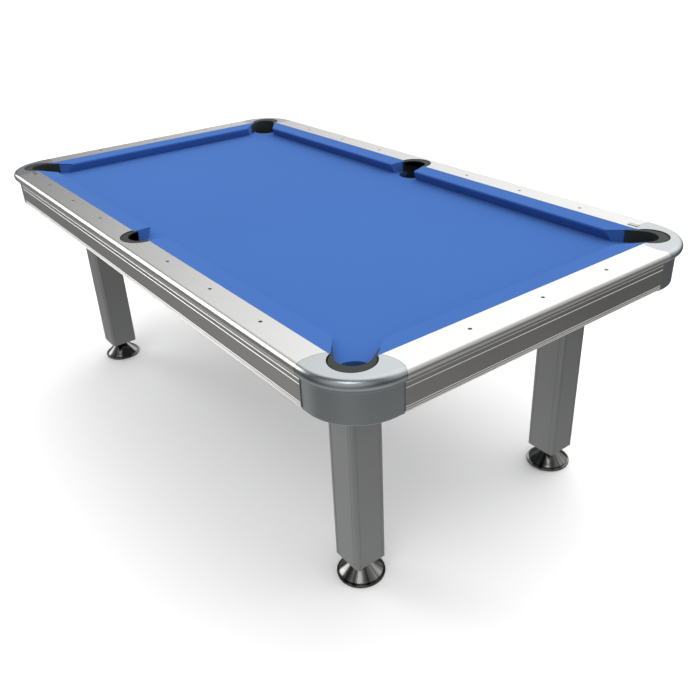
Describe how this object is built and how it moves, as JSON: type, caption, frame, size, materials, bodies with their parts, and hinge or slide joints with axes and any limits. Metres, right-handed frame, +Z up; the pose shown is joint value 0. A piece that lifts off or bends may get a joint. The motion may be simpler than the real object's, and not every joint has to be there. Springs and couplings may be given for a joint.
{
  "type": "pool table",
  "caption": "Seven-foot pool table with blue cloth, satin aluminium rails and corner castings, drop pockets and square legs on screw levelling feet",
  "frame": {"origin": "centre of the table on the floor, under the middle of the bed", "axes": "+X along the table to the right, +Y across it to the back, +Z up"},
  "size_m": [2.2752, 1.2846, 0.8263],
  "materials": {
    "rail_aluminium": "satin anodised, extruded",
    "apron_aluminium": "satin anodised, fluted extrusion",
    "casting_aluminium": "satin, die cast and polished by hand",
    "leg_aluminium": "satin anodised, extruded",
    "cloth": "worsted billiard cloth, fine weave",
    "slate": "honed slate, matte",
    "pocket_rubber": "moulded, matte",
    "frame_steel": "black powder coat, matte",
    "chrome": "mirror polished",
    "name_plate": "brushed, blank"
  },
  "bodies": {
    "table": {"slate_left": "slate", "slate_right": "slate", "bed_cloth": "cloth", "cushion_front_left": "cloth", "cushion_front_right": "cloth", "cushion_back_left": "cloth", "cushion_back_right": "cloth", "cushion_left_end": "cloth", "cushion_right_end": "cloth", "rail_front": "rail_aluminium", "rail_back": "rail_aluminium", "rail_left": "rail_aluminium", "rail_right": "rail_aluminium", "apron_front": "apron_aluminium", "apron_back": "apron_aluminium", "apron_left": "apron_aluminium", "apron_right": "apron_aluminium", "casting_front_left": "casting_aluminium", "casting_front_right": "casting_aluminium", "casting_back_left": "casting_aluminium", "casting_back_right": "casting_aluminium", "pocket_liner_front_left": "pocket_rubber", "pocket_cup_front_left": "pocket_rubber", "pocket_liner_front_right": "pocket_rubber", "pocket_cup_front_right": "pocket_rubber", "pocket_liner_back_left": "pocket_rubber", "pocket_cup_back_left": "pocket_rubber", "pocket_liner_back_right": "pocket_rubber", "pocket_cup_back_right": "pocket_rubber", "pocket_liner_front_side": "pocket_rubber", "pocket_cup_front_side": "pocket_rubber", "pocket_liner_back_side": "pocket_rubber", "pocket_cup_back_side": "pocket_rubber", "frame_beam_front": "frame_steel", "frame_beam_back": "frame_steel", "cross_beam_left": "frame_steel", "cross_beam_middle": "frame_steel", "cross_beam_right": "frame_steel", "leg_front_left": "leg_aluminium", "leg_plate_front_left": "frame_steel", "leg_end_plate_front_left": "frame_steel", "leg_front_right": "leg_aluminium", "leg_plate_front_right": "frame_steel", "leg_end_plate_front_right": "frame_steel", "leg_back_left": "leg_aluminium", "leg_plate_back_left": "frame_steel", "leg_end_plate_back_left": "frame_steel", "leg_back_right": "leg_aluminium", "leg_plate_back_right": "frame_steel", "leg_end_plate_back_right": "frame_steel", "name_plate_front": "name_plate", "name_plate_back": "name_plate"},
    "foot_front_left": {"foot_base_front_left": "chrome"},
    "spindle_front_left": {"foot_cone_front_left": "chrome"},
    "foot_front_right": {"foot_base_front_right": "chrome"},
    "spindle_front_right": {"foot_cone_front_right": "chrome"},
    "foot_back_left": {"foot_base_back_left": "chrome"},
    "spindle_back_left": {"foot_cone_back_left": "chrome"},
    "foot_back_right": {"foot_base_back_right": "chrome"},
    "spindle_back_right": {"foot_cone_back_right": "chrome"}
  },
  "joints": [
    {"name": "foot_extend_front_left", "type": "slide", "parent": "table", "child": "foot_front_left", "axis": [0, 0, -1], "range_m": [0, 0.025]},
    {"name": "spindle_turn_front_left", "type": "hinge", "parent": "foot_front_left", "child": "spindle_front_left", "pos_m": [-0.8561, -0.4063, 0.03], "axis": [0, 0, 1], "range_deg": [0, 4500]},
    {"name": "foot_extend_front_right", "type": "slide", "parent": "table", "child": "foot_front_right", "axis": [0, 0, -1], "range_m": [0, 0.025]},
    {"name": "spindle_turn_front_right", "type": "hinge", "parent": "foot_front_right", "child": "spindle_front_right", "pos_m": [0.8561, -0.4063, 0.03], "axis": [0, 0, 1], "range_deg": [0, 4500]},
    {"name": "foot_extend_back_left", "type": "slide", "parent": "table", "child": "foot_back_left", "axis": [0, 0, -1], "range_m": [0, 0.025]},
    {"name": "spindle_turn_back_left", "type": "hinge", "parent": "foot_back_left", "child": "spindle_back_left", "pos_m": [-0.8561, 0.4063, 0.03], "axis": [0, 0, 1], "range_deg": [0, 4500]},
    {"name": "foot_extend_back_right", "type": "slide", "parent": "table", "child": "foot_back_right", "axis": [0, 0, -1], "range_m": [0, 0.025]},
    {"name": "spindle_turn_back_right", "type": "hinge", "parent": "foot_back_right", "child": "spindle_back_right", "pos_m": [0.8561, 0.4063, 0.03], "axis": [0, 0, 1], "range_deg": [0, 4500]}
  ],
  "couplings": [
    {"joint": "foot_extend_front_left", "follows": "spindle_turn_front_left", "m_per_rad": 0.00031831},
    {"joint": "foot_extend_front_right", "follows": "spindle_turn_front_right", "m_per_rad": 0.00031831},
    {"joint": "foot_extend_back_left", "follows": "spindle_turn_back_left", "m_per_rad": 0.00031831},
    {"joint": "foot_extend_back_right", "follows": "spindle_turn_back_right", "m_per_rad": 0.00031831}
  ]
}
